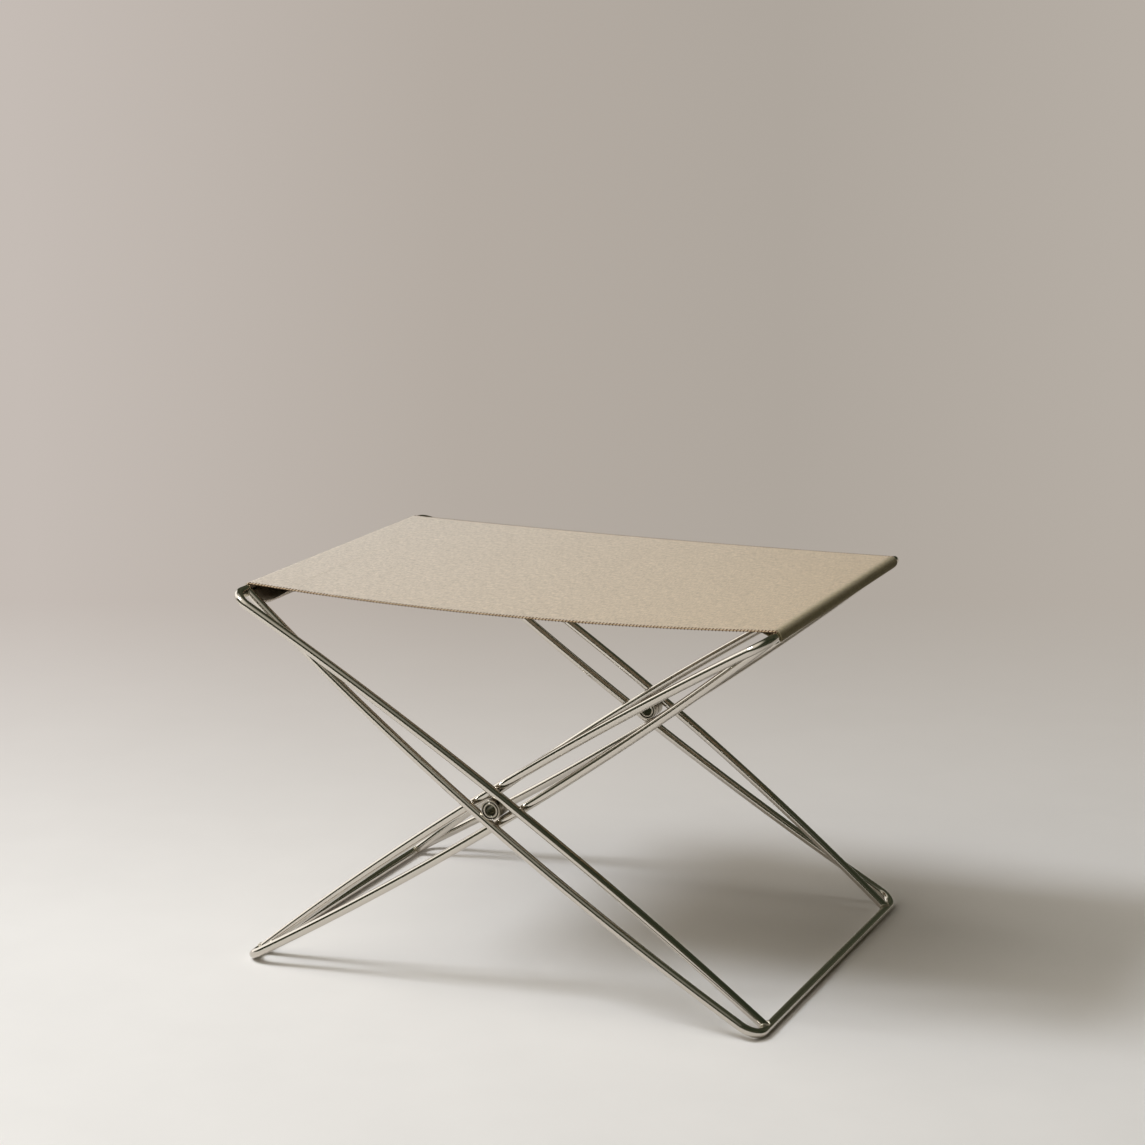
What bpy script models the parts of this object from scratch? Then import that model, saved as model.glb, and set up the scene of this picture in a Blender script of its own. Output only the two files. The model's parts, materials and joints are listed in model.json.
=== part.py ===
"""Folding stool: two crossed frames of bent stainless rod with a canvas seat.

Metres, +Z up, the front towards -Y. The origin lies on the floor in the middle of the stool.
Each frame is one bent rod used twice, head to tail: the upper rod carries the top rail and its
legs run down to the floor rail, the lower rod is the same bend turned half a turn about the pivot.
"""
import math

import bmesh
import bpy
from mathutils import Matrix, Vector

# Frame sizes
ROD_RADIUS = 0.00475
RAIL_SPACING = 0.560
TOP_RAIL_HEIGHT = 0.389
OUTER_WIDTH = 0.444
BEND_RADIUS = 0.019
PIVOT_INSET = 0.010
END_INSET = 0.029

# Pivot sizes
BUSH_RADIUS = 0.010
BUSH_PROUD = 0.00125
BUSH_CHAMFER = 0.0006
COUNTERBORE_RADIUS = 0.0084
RIVET_BORE_RADIUS = 0.0053
RIVET_RADIUS = 0.0062
RIVET_FLANGE_RADIUS = 0.0072
RIVET_FLANGE_THICKNESS = 0.0020
RIVET_CHAMFER = 0.0004
WASHER_THICKNESS = 0.0008

# Weld sizes
WELD_RADIUS = 0.0011
WELD_TIP_RADIUS = 0.0004
WELD_UNDERSIDE_ANGLE = math.radians(100)

# Seat sizes
CLOTH = 0.0012
SEAT_TO_WELD = 0.0015
FRONT_SAG = 0.0092
BACK_SAG = 0.0008
WRAP_ANGLE = math.radians(135)
SEAM_INSET = 0.038
POCKET_DROP = 0.016
POCKET_RISE = 0.020
POCKET_RISE_SLOPE = math.radians(38)

# Clearance between pieces that touch
GAP = 0.0003

# Fineness of the round shapes
ROD_SIDES = 16
BEND_STEPS = 6
LEG_STEPS = 12
TURNED_SIDES = 24
WELD_STEPS = 12
WELD_SIDES = 6
WRAP_STEPS = 8
SEAT_STEPS_ACROSS = 20
SEAT_STEPS_DEEP = 6
POCKET_STEPS = 8

# Worked out from the sizes above
FLOOR_RAIL_HEIGHT = ROD_RADIUS * math.cos(math.pi / ROD_SIDES)
PIVOT_HEIGHT = (TOP_RAIL_HEIGHT + FLOOR_RAIL_HEIGHT) / 2
RAIL_RISE = TOP_RAIL_HEIGHT - PIVOT_HEIGHT
LEG_BOW = BUSH_RADIUS + GAP + ROD_RADIUS
BUSH_SEAT = WASHER_THICKNESS / 2 + GAP
FRAME_STEP = 2 * (ROD_RADIUS + BUSH_SEAT)
INNER_WIDTH = OUTER_WIDTH - 2 * FRAME_STEP
BUSH_LENGTH = 2 * ROD_RADIUS + BUSH_PROUD
PIVOT_PLANE = OUTER_WIDTH / 2 - PIVOT_INSET - FRAME_STEP / 2
WRAP_RADIUS = ROD_RADIUS + GAP + CLOTH

STEEL = ((0.30, 0.285, 0.25), 0.32, 1.0)
BUSH_STEEL = ((0.24, 0.225, 0.19), 0.38, 1.0)
RIVET_STEEL = ((0.34, 0.32, 0.28), 0.33, 1.0)
WELD_STEEL = ((0.34, 0.32, 0.28), 0.30, 1.0)
NYLON = ((0.05, 0.048, 0.042), 0.55, 0.0)
CANVAS = ((0.56, 0.50, 0.39), 0.92, 0.0)


def clear_scene():
    for old in list(bpy.data.objects):
        bpy.data.objects.remove(old, do_unlink=True)


def material(name, look):
    colour, roughness, metallic = look
    made = bpy.data.materials.new(name)
    made.use_nodes = True
    shader = made.node_tree.nodes["Principled BSDF"]
    shader.inputs["Base Color"].default_value = (*colour, 1.0)
    shader.inputs["Roughness"].default_value = roughness
    shader.inputs["Metallic"].default_value = metallic
    return made


def mesh_from(bm, name, sharp=math.radians(35)):
    """Closes off a bmesh as a smooth-shaded mesh with its faces pointing out."""
    bmesh.ops.recalc_face_normals(bm, faces=bm.faces)
    mesh = bpy.data.meshes.new(name)
    bm.to_mesh(mesh)
    bm.free()
    mesh.shade_smooth()
    mesh.set_sharp_from_angle(angle=sharp)
    return mesh


def place(name, mesh, frame, look, turn=(0.0, 0.0, 0.0), at=(0.0, 0.0, 0.0)):
    """Adds one piece to a frame, measured from the pivot axis; a shared mesh keeps its own look here."""
    piece = bpy.data.objects.new(name, mesh)
    bpy.context.scene.collection.objects.link(piece)
    piece.parent = frame
    piece.location = at
    piece.rotation_euler = turn
    if not mesh.materials:
        mesh.materials.append(None)
    piece.material_slots[0].link = "OBJECT"
    piece.material_slots[0].material = material(name + "_finish", look)
    return piece


def frame_empty(name):
    empty = bpy.data.objects.new(name, None)
    empty.location = (0.0, 0.0, PIVOT_HEIGHT)
    bpy.context.scene.collection.objects.link(empty)
    return empty


def loft(rings):
    """Joins equal rings of points with quads and caps the two ends."""
    bm = bmesh.new()
    rows = [[bm.verts.new(point) for point in ring] for ring in rings]
    count = len(rows[0])
    for near, far in zip(rows, rows[1:]):
        for k in range(count):
            after = (k + 1) % count
            bm.faces.new((near[k], near[after], far[after], far[k]))
    caps = [bm.faces.new(rows[0]), bm.faces.new(rows[-1])]
    bm.normal_update()
    bmesh.ops.triangulate(bm, faces=caps)
    return bm


def tube_rings(path, radii, sides, up):
    """Rings square to a path, carried along it without twist; a flat side faces up."""
    rings = []
    normal = up.copy()
    for k, point in enumerate(path):
        behind = path[max(k - 1, 0)]
        ahead = path[min(k + 1, len(path) - 1)]
        tangent = (ahead - behind).normalized()
        normal = (normal - tangent * normal.dot(tangent)).normalized()
        across = tangent.cross(normal)
        ring = []
        for side in range(sides):
            angle = 2 * math.pi * (side + 0.5) / sides
            ring.append(point + radii[k] * (math.cos(angle) * normal + math.sin(angle) * across))
        rings.append(ring)
    return rings


def leg_point(width, lean, s):
    """Centre line of a back leg from its own rail, s = 0, to the rail it is welded to, s = 1.

    The leg bows away from the straight line between the rails, by LEG_BOW at the pivot, and draws
    in towards the middle of the stool, by PIVOT_INSET at the pivot and END_INSET at the weld.
    """
    chord = Vector((RAIL_SPACING, 0.0, -2 * RAIL_RISE))
    bow = Vector((2 * RAIL_RISE, 0.0, RAIL_SPACING)).normalized() * LEG_BOW * 4 * s * (1 - s)
    inset = s * (4 * PIVOT_INSET - END_INSET) + s * s * (2 * END_INSET - 4 * PIVOT_INSET)
    point = Vector((-RAIL_SPACING / 2, width / 2 - inset, RAIL_RISE)) + chord * s + bow
    return Vector((point.x * lean, point.y, point.z))


def leg_end_direction(width, lean):
    """Direction of the leg at its weld, pointing away from the rail."""
    step = 0.01
    return (leg_point(width, lean, 1 - step) - leg_point(width, lean, 1)).normalized()


def half_rod_path(width, lean):
    """Back half of the bent rod: from the end of the straight rail round the bend and down the leg."""
    corner = leg_point(width, lean, 0)
    leg = (leg_point(width, lean, 0.01) - corner).normalized()
    rail = Vector((0.0, -1.0, 0.0))
    opening = rail.angle(leg)
    reach = BEND_RADIUS / math.tan(opening / 2)
    centre = corner + (rail + leg).normalized() * BEND_RADIUS / math.sin(opening / 2)
    start = corner + rail * reach - centre
    axis = rail.cross(leg).normalized()
    sweep = math.pi - opening
    path = []
    for k in range(BEND_STEPS + 1):
        turn = Matrix.Rotation(-sweep * k / BEND_STEPS, 3, axis)
        path.append(centre + turn @ start)
    first = reach / (leg_point(width, lean, 1) - corner).length
    for k in range(1, LEG_STEPS + 1):
        path.append(leg_point(width, lean, first + (1 - first) * k / LEG_STEPS))
    return path


def bent_rod_mesh(name, width, lean):
    """One bent rod about the pivot, its two leg ends coped to sit on the rail they are welded to."""
    back = half_rod_path(width, lean)
    front = [Vector((point.x, -point.y, point.z)) for point in back]
    up = Vector((0.0, 0.0, 1.0))
    back_rings = tube_rings([front[0]] + back, [ROD_RADIUS] * (len(back) + 1), ROD_SIDES, up)[1:]
    front_rings = [[Vector((p.x, -p.y, p.z)) for p in ring] for ring in reversed(back_rings)]
    raw = mesh_from(loft(front_rings + back_rings), name)
    rod = bpy.data.objects.new(name, raw)
    cutter_bm = bmesh.new()
    bmesh.ops.create_cone(cutter_bm, cap_ends=True, segments=2 * ROD_SIDES, radius1=ROD_RADIUS + GAP,
                          radius2=ROD_RADIUS + GAP, depth=width)
    lie_down = Matrix.Rotation(math.pi / 2, 4, "X")
    rail_place = Matrix.Translation((lean * RAIL_SPACING / 2, 0.0, -RAIL_RISE))
    bmesh.ops.transform(cutter_bm, matrix=rail_place @ lie_down, verts=cutter_bm.verts)
    cutter = bpy.data.objects.new(name + "_rail_cutter", mesh_from(cutter_bm, name + "_rail_cutter"))
    for item in (rod, cutter):
        bpy.context.scene.collection.objects.link(item)
    cope = rod.modifiers.new("cope", "BOOLEAN")
    cope.operation = "DIFFERENCE"
    cope.solver = "EXACT"
    cope.object = cutter
    bpy.context.view_layer.update()
    coped = bpy.data.meshes.new_from_object(rod.evaluated_get(bpy.context.evaluated_depsgraph_get()))
    coped.name = name
    for item in (rod, cutter):
        bpy.data.objects.remove(item, do_unlink=True)
    return coped


def weld_mesh(name, width, lean, side):
    """Fillet weld round one coped leg end, fullest in the two corners beside the rail.

    It stops short of the underside, which is ground flush so that the rail lies flat.
    """
    end = leg_point(width, lean, 1)
    leg = leg_end_direction(width, lean)
    over = Vector((0.0, 1.0, 0.0)).cross(leg).normalized()
    if over.z < 0:
        over.negate()
    path = []
    radii = []
    sweep = math.pi - WELD_UNDERSIDE_ANGLE / 2
    for k in range(WELD_STEPS + 1):
        angle = math.pi / 2 + sweep * (2 * k / WELD_STEPS - 1)
        corner = abs(math.cos(angle))
        taper = math.sin(math.pi * k / WELD_STEPS) ** 0.5
        radius = WELD_TIP_RADIUS + (WELD_RADIUS - WELD_TIP_RADIUS) * corner * taper
        away = ROD_RADIUS + GAP + radius
        lift = math.hypot(corner, WELD_TIP_RADIUS / away)
        along = Vector((0.0, math.cos(angle), 0.0))
        point = end + away * (along + math.sin(angle) * over + lift * leg)
        path.append(Vector((point.x, point.y * side, point.z)))
        radii.append(radius)
    return mesh_from(loft(tube_rings(path, radii, WELD_SIDES, Vector((0.0, 0.0, 1.0)))), name)


def turned_mesh(name, profile):
    """Turns a closed outline of (radius, height) points about +Z."""
    bm = bmesh.new()
    verts = [bm.verts.new((radius, 0.0, height)) for radius, height in profile]
    edges = [bm.edges.new((a, b)) for a, b in zip(verts, verts[1:] + verts[:1])]
    bmesh.ops.spin(bm, geom=verts + edges, cent=(0, 0, 0), axis=(0, 0, 1), angle=2 * math.pi,
                   steps=TURNED_SIDES, use_merge=True, use_duplicate=False)
    bmesh.ops.remove_doubles(bm, verts=bm.verts, dist=1e-6)
    return mesh_from(bm, name)


def bush_mesh():
    """Bush between the two rods of a leg, from its inner face at z = 0 to its counterbored face."""
    bore = RIVET_RADIUS + GAP
    floor = BUSH_LENGTH - RIVET_FLANGE_THICKNESS - GAP
    profile = [
        (bore, 0.0),
        (BUSH_RADIUS, 0.0),
        (BUSH_RADIUS, BUSH_LENGTH - BUSH_CHAMFER),
        (BUSH_RADIUS - BUSH_CHAMFER, BUSH_LENGTH),
        (COUNTERBORE_RADIUS, BUSH_LENGTH),
        (COUNTERBORE_RADIUS, floor),
        (bore, floor),
    ]
    return turned_mesh("bush", profile)


def washer_mesh():
    half = WASHER_THICKNESS / 2
    bore = RIVET_RADIUS + GAP
    profile = [(bore, -half), (BUSH_RADIUS, -half), (BUSH_RADIUS, half), (bore, half)]
    return turned_mesh("washer", profile)


def rivet_mesh():
    """Tubular rivet that both bushes turn on, a flange turned out at each end, about its middle."""
    top = BUSH_SEAT + BUSH_LENGTH
    shoulder = top - RIVET_FLANGE_THICKNESS
    upper = [
        (RIVET_RADIUS, shoulder),
        (RIVET_FLANGE_RADIUS, shoulder),
        (RIVET_FLANGE_RADIUS, top - RIVET_CHAMFER),
        (RIVET_FLANGE_RADIUS - RIVET_CHAMFER, top),
        (RIVET_BORE_RADIUS, top),
    ]
    lower = [(radius, -height) for radius, height in reversed(upper)]
    return turned_mesh("rivet", upper + lower)


def cloth_half_depth(width):
    """Half depth of the cloth on a frame's top rail, which it covers from weld to weld."""
    weld_end = width / 2 - END_INSET - ROD_RADIUS - GAP - 2 * WELD_RADIUS
    return weld_end - SEAT_TO_WELD


def seat_half_depth(x):
    """Half depth of the seat, front to back: it narrows from the outer frame to the inner one."""
    at_outer = cloth_half_depth(OUTER_WIDTH)
    at_inner = cloth_half_depth(INNER_WIDTH)
    return at_outer + (at_inner - at_outer) * (x / RAIL_SPACING + 0.5)


def seat_sag(x, y):
    """How far the cloth hangs below the tops of the rails: more at the front than at the back."""
    share = (y / seat_half_depth(x) + 1) / 2
    sag = FRONT_SAG + (BACK_SAG - FRONT_SAG) * share
    return sag * max(0.0, 1 - (2 * x / RAIL_SPACING) ** 2)


def wrap_mesh(name, width, lean):
    """Cloth held tight round the outside of a top rail, from its top down to where it leaves it."""
    section = []
    for radius, order in ((WRAP_RADIUS, 1), (WRAP_RADIUS - CLOTH, -1)):
        arc = []
        for k in range(WRAP_STEPS + 1):
            angle = math.pi / 2 + WRAP_ANGLE * k / WRAP_STEPS
            arc.append((radius * math.cos(angle), radius * math.sin(angle)))
        section += arc[::order]
    half_depth = cloth_half_depth(width)
    rings = []
    for y in (-half_depth, half_depth):
        rings.append([Vector((lean * (x - RAIL_SPACING / 2), y, z + RAIL_RISE)) for x, z in section])
    return mesh_from(loft(rings), name)


def bezier(p0, p1, p2, p3, t):
    u = 1 - t
    return p0 * u ** 3 + p1 * 3 * u * u * t + p2 * 3 * u * t * t + p3 * t ** 3


def pocket_side():
    """The loose under layer of one rail pocket, as (x from the rail, z from the rail) centre points."""
    middle = WRAP_RADIUS - CLOTH / 2
    leave = math.pi / 2 + WRAP_ANGLE
    clear = leave + GAP / middle
    start = Vector((math.cos(clear), math.sin(clear))) * middle
    down = Vector((-math.sin(leave), math.cos(leave)))
    seam = Vector((SEAM_INSET, WRAP_RADIUS - 1.5 * CLOTH))
    rise = Vector((math.cos(POCKET_RISE_SLOPE), math.sin(POCKET_RISE_SLOPE)))
    first = start + down * POCKET_DROP
    second = seam - rise * POCKET_RISE
    return [bezier(start, first, second, seam, k / POCKET_STEPS) for k in range(POCKET_STEPS + 1)]


def offset_line(points, distance):
    """A line of 2-D points moved sideways, to its left for a positive distance."""
    moved = []
    for k, point in enumerate(points):
        ahead = points[min(k + 1, len(points) - 1)]
        behind = points[max(k - 1, 0)]
        along = (ahead - behind).normalized()
        moved.append(point + Vector((-along.y, along.x)) * distance)
    return moved


def seat_outline():
    """Section of the seat across the stool: the sheet, and an open pocket under it at each rail."""
    half = RAIL_SPACING / 2
    top = WRAP_RADIUS
    upper = []
    for k in range(SEAT_STEPS_ACROSS + 1):
        x = (half - GAP) * (2 * k / SEAT_STEPS_ACROSS - 1)
        upper.append(Vector((x, top)))
    pocket = pocket_side()
    inner = offset_line(pocket, CLOTH / 2)[:-1]
    outer = offset_line(pocket, -CLOTH / 2)
    crotch = Vector((SEAM_INSET - CLOTH, top - CLOTH))
    left = [Vector((GAP, top - CLOTH)), crotch] + inner[::-1] + outer
    left = [Vector((point.x - half, point.y)) for point in left]
    right = [Vector((-point.x, point.y)) for point in left]
    under = []
    for point in upper:
        if abs(point.x) < half - SEAM_INSET - CLOTH:
            under.append(Vector((point.x, top - CLOTH)))
    return upper + right + under[::-1] + left[::-1]


def seat_mesh(name):
    outline = seat_outline()
    rings = []
    for k in range(SEAT_STEPS_DEEP + 1):
        share = 2 * k / SEAT_STEPS_DEEP - 1
        ring = []
        for x, z in outline:
            y = share * seat_half_depth(x)
            ring.append(Vector((x, y, z + RAIL_RISE - seat_sag(x, y))))
        rings.append(ring)
    return mesh_from(loft(rings), name)


def build_frame(name, frame, width, lean):
    rod = bent_rod_mesh(name + "_rod", width, lean)
    welds = {place_name: weld_mesh(name + "_weld_" + place_name, width, lean, side)
             for place_name, side in (("front", -1), ("back", 1))}
    for level, turn in (("upper", (0.0, 0.0, 0.0)), ("lower", (0.0, math.pi, 0.0))):
        place(f"{name}_{level}_rod", rod, frame, STEEL, turn)
        for place_name, weld in welds.items():
            place(f"{name}_{level}_weld_{place_name}", weld, frame, WELD_STEEL, turn)


def build_pivots(outer, inner):
    """The same bush serves both frames, its counterbore outwards on one and inwards on the other."""
    bush, washer, rivet = bush_mesh(), washer_mesh(), rivet_mesh()
    for place_name, side in (("front", -1), ("back", 1)):
        outwards = (-side * math.pi / 2, 0.0, 0.0)
        inwards = (side * math.pi / 2, 0.0, 0.0)
        middle = side * PIVOT_PLANE
        seat = side * BUSH_SEAT
        place(f"outer_bush_{place_name}", bush, outer, BUSH_STEEL, outwards, (0.0, middle + seat, 0.0))
        place(f"inner_bush_{place_name}", bush, inner, BUSH_STEEL, inwards, (0.0, middle - seat, 0.0))
        place(f"pivot_washer_{place_name}", washer, outer, NYLON, outwards, (0.0, middle, 0.0))
        place(f"pivot_rivet_{place_name}", rivet, outer, RIVET_STEEL, outwards, (0.0, middle, 0.0))


def main():
    clear_scene()
    outer = frame_empty("outer_frame")
    inner = frame_empty("inner_frame")
    build_frame("outer", outer, OUTER_WIDTH, 1)
    build_frame("inner", inner, INNER_WIDTH, -1)
    build_pivots(outer, inner)
    place("canvas_wrap_outer", wrap_mesh("wrap_outer", OUTER_WIDTH, 1), outer, CANVAS)
    place("canvas_wrap_inner", wrap_mesh("wrap_inner", INNER_WIDTH, -1), inner, CANVAS)
    place("canvas_seat", seat_mesh("seat"), outer, CANVAS)


main()
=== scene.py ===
import json
import math

import bmesh
import bpy
from bpy.props import FloatProperty, FloatVectorProperty, IntProperty, PointerProperty, StringProperty
from mathutils import Matrix, Vector


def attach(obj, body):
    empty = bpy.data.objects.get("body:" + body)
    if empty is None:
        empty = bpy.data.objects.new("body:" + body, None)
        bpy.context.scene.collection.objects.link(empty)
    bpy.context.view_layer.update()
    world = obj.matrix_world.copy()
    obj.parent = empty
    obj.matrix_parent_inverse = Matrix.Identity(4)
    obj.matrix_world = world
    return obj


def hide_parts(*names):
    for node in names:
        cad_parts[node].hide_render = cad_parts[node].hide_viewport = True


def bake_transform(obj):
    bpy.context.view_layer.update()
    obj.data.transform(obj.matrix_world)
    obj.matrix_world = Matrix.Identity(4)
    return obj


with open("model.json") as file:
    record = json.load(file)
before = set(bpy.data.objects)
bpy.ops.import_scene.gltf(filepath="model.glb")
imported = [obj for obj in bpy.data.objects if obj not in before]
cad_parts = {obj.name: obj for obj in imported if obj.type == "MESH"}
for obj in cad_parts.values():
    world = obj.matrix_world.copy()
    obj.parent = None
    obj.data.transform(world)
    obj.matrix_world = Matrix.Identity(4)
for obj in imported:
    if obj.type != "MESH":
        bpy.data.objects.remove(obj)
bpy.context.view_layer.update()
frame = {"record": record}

bl_info = {
    "name": "Folding stool dressing",
    "version": (1, 0, 0),
    "blender": (4, 5, 0),
    "location": "3D View > Sidebar > Stool",
    "description": "Satin steel rods, pivots and a woven canvas sling over the stool's solid frame",
    "category": "Object",
}

PIVOT = Vector(frame["record"]["behaviour"]["joints"][0]["pos_m"])
LEANS = {"outer": 1, "inner": -1}
SIDES = {"front": -1, "back": 1}
RAILS = {"outer": 0, "inner": 1}
LAMPS_AIM = Vector((0.0, 0.0, 0.3))
# Painted light on the backdrop, from left to right behind the stool: paler on the lamps' side.
BACKDROP_TONES = ((0.03, "#C5BCB5"), (0.40, "#B4ABA2"), (0.68, "#AEA69D"), (0.97, "#B5ADA4"))


# Sizes and colours

def metres(name, description, default):
    """A length."""
    return FloatProperty(name=name, description=description, default=default, unit="LENGTH")


def metres_by_rail(name, description, default):
    """Two lengths, for the outer rail and the inner one."""
    return FloatVectorProperty(name=name, description=description, default=default, size=2, unit="LENGTH")


def degrees(name, description, default):
    """An angle, whose default is given in degrees."""
    return FloatProperty(name=name, description=description, default=math.radians(default),
                         subtype="ANGLE")


def degrees_by_rail(name, description, default):
    """Two angles, for the outer rail and the inner one."""
    return FloatVectorProperty(name=name, description=description, subtype="EULER", size=2,
                               default=tuple(math.radians(angle) for angle in default))


def whole_number(name, description, default):
    return IntProperty(name=name, description=description, default=default)


def number(name, description, default, unit="NONE"):
    return FloatProperty(name=name, description=description, default=default, unit=unit)


def position(name, description, default):
    return FloatVectorProperty(name=name, description=description, default=default,
                               subtype="TRANSLATION", unit="LENGTH")


def direction(name, description, default):
    return FloatVectorProperty(name=name, description=description, default=default,
                               subtype="DIRECTION")


def light_colour(name, description, default):
    """The colour of a light, in linear red, green and blue."""
    return FloatVectorProperty(name=name, description=description, default=default, subtype="COLOR")


def hex_colour(name, description, default):
    return StringProperty(name=name, description=description, default=default)


class StoolFrameSettings(bpy.types.PropertyGroup):
    rod_radius: metres("Rod radius", "Half the thickness of the bent rod", 0.00475)
    rail_spacing: metres("Rail spacing", "From one rail to the other, across the stool", 0.560)
    rail_rise: metres("Rail rise", "From the pivot up to the middle of a top rail", 0.1921706)
    outer_width: metres("Outer width", "Outer frame between the middles of its corners", 0.444)
    inner_width: metres("Inner width", "Inner frame between the middles of its corners", 0.4222)
    bend_radius: metres("Bend radius", "Radius of the rod's bends along its middle", 0.019)
    leg_bow: metres("Leg bow", "How far a leg bows out at the pivot, so that a bush fits between two",
                    0.01505)
    pivot_inset: metres("Pivot inset", "How far a leg is drawn in at the pivot", 0.010)
    end_inset: metres("End inset", "How far a leg is drawn in at its weld", 0.029)
    bend_steps: whole_number("Bend steps", "Rings of faces round each bend", 18)
    leg_steps: whole_number("Leg steps", "Rings of faces along each leg", 52)
    weld_radius: metres("Weld radius", "Thickest half of the weld bead", 0.0013)
    weld_tip: metres("Weld tip radius", "Half thickness of the bead at its ends and over the top", 0.0005)
    weld_open: degrees("Weld underside", "Angle under the rod that is ground flush", 100)


class StoolPivotSettings(bpy.types.PropertyGroup):
    plane: metres("Pivot plane", "From the middle of the stool to the washer", 0.20655)
    seat: metres("Bush seat", "From the washer's middle to a bush", 0.0007)
    bush_radius: metres("Bush radius", "Outside of the bush", 0.010)
    bush_length: metres("Bush length", "Bush from end to end", 0.01075)
    counterbore: metres("Counterbore radius", "Recess that the rivet's lip lies in", 0.0087)
    rivet_radius: metres("Rivet radius", "Outside of the rivet's tube", 0.0062)
    rivet_bore: metres("Rivet bore", "Inside of the rivet's tube", 0.0056)
    rivet_lip: metres("Rivet lip radius", "Outside of the rolled lip", 0.0076)
    rivet_lip_depth: metres("Rivet lip depth", "Thickness of the rolled lip", 0.0020)
    washer_thickness: metres("Washer thickness", "Between the two frames", 0.0010)
    slip: metres("Slip", "Room between the rivet and what turns on it", 0.0001)
    steps: whole_number("Turning steps", "Faces round each turned piece", 72)


class StoolCanvasSettings(bpy.types.PropertyGroup):
    thickness: metres("Thickness", "Thickness of the canvas", 0.0012)
    rod_gap: metres("Rod gap", "Between a rail and the cloth round it", 0.0003)
    front_reach: metres_by_rail("Front reach", "From the stool's middle to the front edge", (0.188, 0.183))
    back_reach: metres_by_rail("Back reach", "From the stool's middle to the back edge", (0.192, 0.185))
    under_reach: metres_by_rail(
        "Under layer reach", "The same for the pockets' under layers, clear of the welds",
        (0.18425, 0.1715))
    front_sag: metres("Front sag", "How far the front edge hangs in its middle", 0.0092)
    back_sag: metres("Back sag", "How far the back edge hangs in its middle", 0.0024)
    wrap_angle: degrees_by_rail("Wrap angle", "How far the cloth holds to each rail, from its top",
                                (135, 206))
    seam_inset: metres_by_rail("Seam inset", "From each rail to its pocket's seam", (0.046, 0.022))
    flap: metres("Seam allowance", "Cloth left beyond the seam under the seat", 0.008)
    pocket_drop: metres_by_rail("Pocket drop", "How straight each under layer leaves its rail",
                                (0.025, 0.006))
    pocket_rise: metres_by_rail("Pocket rise", "How straight each under layer meets its seam",
                                (0.026, 0.006))
    pocket_slope: degrees_by_rail("Pocket slope", "Slope of each under layer at its seam", (30, 26))
    whip_pitch: metres("Edge stitch pitch", "From one turn of the edge thread to the next", 0.0035)
    whip_radius: metres("Whipping radius", "Half the thickness of the edge thread", 0.00055)
    core_radius: metres("Core radius", "Half the thickness of the thread that it goes round", 0.00068)
    whip_end: metres("Whipping end", "How far the edge thread runs past each rail's middle", 0.0020)
    stitch_pitch: metres("Seam stitch pitch", "From one seam stitch to the next", 0.0036)
    pale_colour: hex_colour("Pale colour", "Natural undyed cotton by the outer rail", "#DACFC1")
    warm_colour: hex_colour("Warm colour", "The same cotton by the inner rail", "#CFBDA3")
    whip_colour: hex_colour("Whipping colour", "Brown thread that whips the raw edges", "#7B5638")
    core_colour: hex_colour("Core colour", "Paler thread that is laid along them", "#D8C3A1")


class StoolStageSettings(bpy.types.PropertyGroup):
    camera_place: position("Camera place", "Where the camera stands", (1.16368, -2.73383, 1.03521))
    camera_azimuth: degrees("Camera azimuth", "Turn of the camera about the stool's upright", 23.152)
    camera_tilt: degrees("Camera tilt", "Tilt of the camera above the level", -12.224)
    camera_roll: degrees("Camera roll", "Roll of the camera", -0.102)
    camera_lens: number("Camera lens", "Focal length on a sensor 36 mm wide", 92.79, "CAMERA")
    floor_radius: metres("Floor radius", "How far the floor runs", 60.0)
    floor_colour: hex_colour("Floor colour", "Pale matt floor near the stool", "#EEECE9")
    backdrop_start: metres("Backdrop start", "Where the floor has run into the backdrop, behind the stool",
                           1.60)
    surround_start: metres("Surround start", "Where the backdrop begins on the other sides", 1.10)
    surround_full: metres("Surround full", "Where the floor has run into it there", 2.40)
    key_place: position("Key lamp place", "Where the key lamp hangs", (-2.70, -1.38, 3.75))
    key_size: metres("Key lamp size", "Across the round key lamp", 1.36)
    key_power: number("Key lamp power", "Power of the key lamp", 118.0, "POWER")
    key_colour: light_colour("Key lamp colour", "Slightly cool, against the warm room",
                             (0.875, 0.920, 1.0))
    sail_place: position("Sail place", "Where the large lit sail hangs", (-2.10, -1.90, 3.90))
    sail_size: metres("Sail size", "Across the lit sail round the key lamp", 6.8)
    sail_power: number("Sail power", "Power of the lit sail", 200.0, "POWER")
    sail_colour: light_colour("Sail colour", "Warm white cloth", (1.0, 0.950, 0.865))
    sail_shine: number("Sail shine", "How bright the sail is in the steel", 0.9)
    window_low: direction("Window", "Which way the window's wide low pane lies from the stool",
                          (-0.90, 0.38, 0.20))
    window_high: direction("Window top", "Which way its small high pane lies", (-0.90, 0.02, 0.44))
    window_shine: number("Window shine", "How bright the window is in the steel", 1.4)
    window_colour: light_colour("Window colour", "Whiter than the sail", (1.0, 0.970, 0.945))
    fill: light_colour("Fill", "Warm light from all round, as the room throws back the key light",
                       (0.056, 0.049, 0.034))


# Small helpers

def linear(colour):
    """An sRGB hex colour as linear red, green, blue and alpha."""
    values = [int(colour[k:k + 2], 16) / 255 for k in (1, 3, 5)]
    return (*[v / 12.92 if v <= 0.04045 else ((v + 0.055) / 1.055) ** 2.4 for v in values], 1.0)


def add(tree, kind, inputs=None, **settings):
    """Adds a node with its settings; an input is a plain value, or the node or output that feeds it."""
    made = tree.nodes.new("ShaderNode" + kind)
    for name, value in settings.items():
        setattr(made, name, value)
    for socket, value in (inputs or {}).items():
        if isinstance(value, bpy.types.Node):
            value = next(output for output in value.outputs if output.enabled)
        if isinstance(value, bpy.types.NodeSocket):
            tree.links.new(value, made.inputs[socket])
        else:
            made.inputs[socket].default_value = value
    return made


def new_material(name):
    made = bpy.data.materials.new(name)
    made.use_nodes = True
    made.node_tree.nodes.clear()
    return made, made.node_tree


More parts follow.
